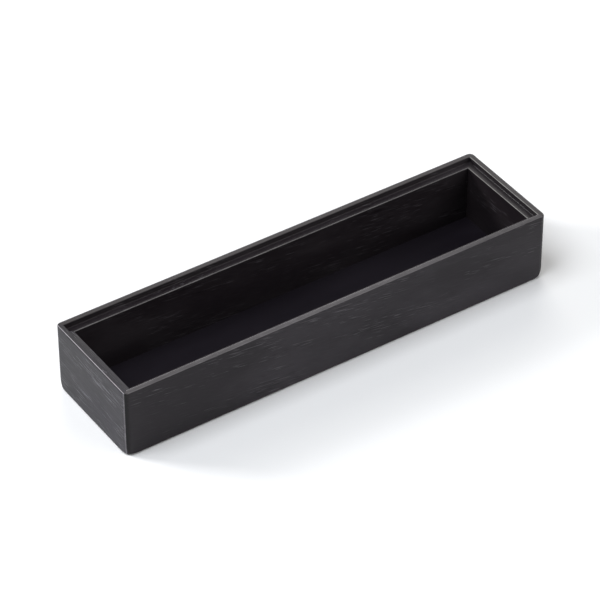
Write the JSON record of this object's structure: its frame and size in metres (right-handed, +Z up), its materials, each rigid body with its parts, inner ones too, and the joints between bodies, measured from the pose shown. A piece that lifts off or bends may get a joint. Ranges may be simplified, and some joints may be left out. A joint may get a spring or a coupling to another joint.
{
  "type": "pen tray",
  "caption": "Long narrow open-topped wooden tray for pens, with mitred walls, a stepped ledge round the inside of the rim and a flat bottom panel, stained black.",
  "frame": {"origin": "middle of the footprint, on the surface that the tray stands on", "axes": "+X along the tray, +Y from its front to its back, +Z up"},
  "size_m": [0.252, 0.065, 0.04],
  "materials": {
    "stained_wood": "black stain under a satin lacquer, fine grain along each wall",
    "stained_panel": "smooth black-stained sheet, satin",
    "raw_wood": "bare planed wood, hidden in the mitres"
  },
  "bodies": {
    "root": {"front_wall": "stained_wood", "back_wall": "stained_wood", "left_end_wall": "stained_wood", "right_end_wall": "stained_wood", "bottom_panel": "stained_panel", "front_left_tongue": "raw_wood", "front_right_tongue": "raw_wood", "back_left_tongue": "raw_wood", "back_right_tongue": "raw_wood"}
  },
  "joints": []
}
